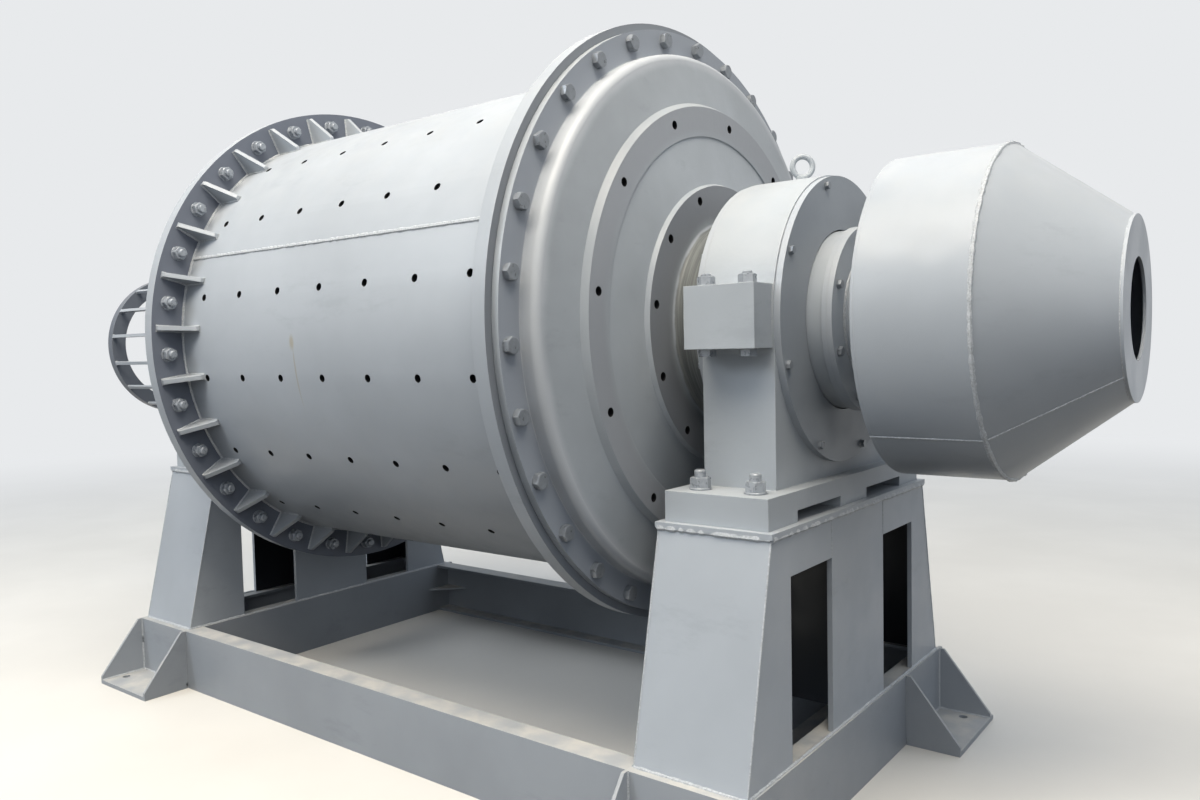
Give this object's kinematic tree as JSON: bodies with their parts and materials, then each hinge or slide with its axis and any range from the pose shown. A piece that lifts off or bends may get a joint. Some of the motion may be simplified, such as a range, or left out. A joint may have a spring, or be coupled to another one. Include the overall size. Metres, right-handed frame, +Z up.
{
  "type": "ball mill",
  "caption": "Trunnion-mounted grinding mill: flanged drum with dished ends in split bearings, conical feeder, open trommel frame, windowed pedestals and base frame.",
  "frame": {"origin": "on the floor plane under the middle of the part's overall box", "axes": "+X along the drum's axis towards the feed end, +Z up, the front with the long beam at -Y"},
  "size_m": [5.902, 2.456, 3.038],
  "materials": {
    "grey_paint": "satin",
    "light_paint": "satin",
    "dark_paint": "satin",
    "bearing_steel": "ground"
  },
  "bodies": {
    "stand": {"front_beam": "grey_paint", "rear_beam": "grey_paint", "corner_gussets": "grey_paint", "feed_bearing_body": "grey_paint", "feed_eye_bolt": "grey_paint", "feed_pedestal": "grey_paint", "feed_bearing_cap": "light_paint", "feed_top_plate": "light_paint", "feed_inner_seal": "dark_paint", "feed_outer_seal": "dark_paint", "feed_base": "dark_paint", "feed_brackets": "dark_paint", "feed_bearing_ring": "bearing_steel", "discharge_bearing_body": "grey_paint", "discharge_eye_bolt": "grey_paint", "discharge_pedestal": "grey_paint", "discharge_bearing_cap": "light_paint", "discharge_top_plate": "light_paint", "discharge_inner_seal": "dark_paint", "discharge_outer_seal": "dark_paint", "discharge_base": "dark_paint", "discharge_brackets": "dark_paint", "discharge_bearing_ring": "bearing_steel"},
    "drum": {"drum_shell": "grey_paint", "feed_shell_flange": "grey_paint", "discharge_shell_flange": "grey_paint", "shell_gussets": "light_paint", "feed_head": "light_paint", "discharge_head": "light_paint", "feed_liner_tube": "dark_paint", "discharge_liner_tube": "dark_paint", "feeder_neck": "grey_paint", "feeder_back_plate": "grey_paint", "feeder_drum": "grey_paint", "feeder_cone": "grey_paint", "feeder_end_plate": "grey_paint", "trommel_flange": "grey_paint", "trommel_bars": "light_paint", "trommel_mid_ring": "grey_paint", "trommel_end_ring": "dark_paint"}
  },
  "joints": [
    {"name": "drum_turn", "type": "hinge", "parent": "stand", "child": "drum", "pos_m": [0, 0, 1.81], "axis": [1, 0, 0], "continuous": true}
  ]
}
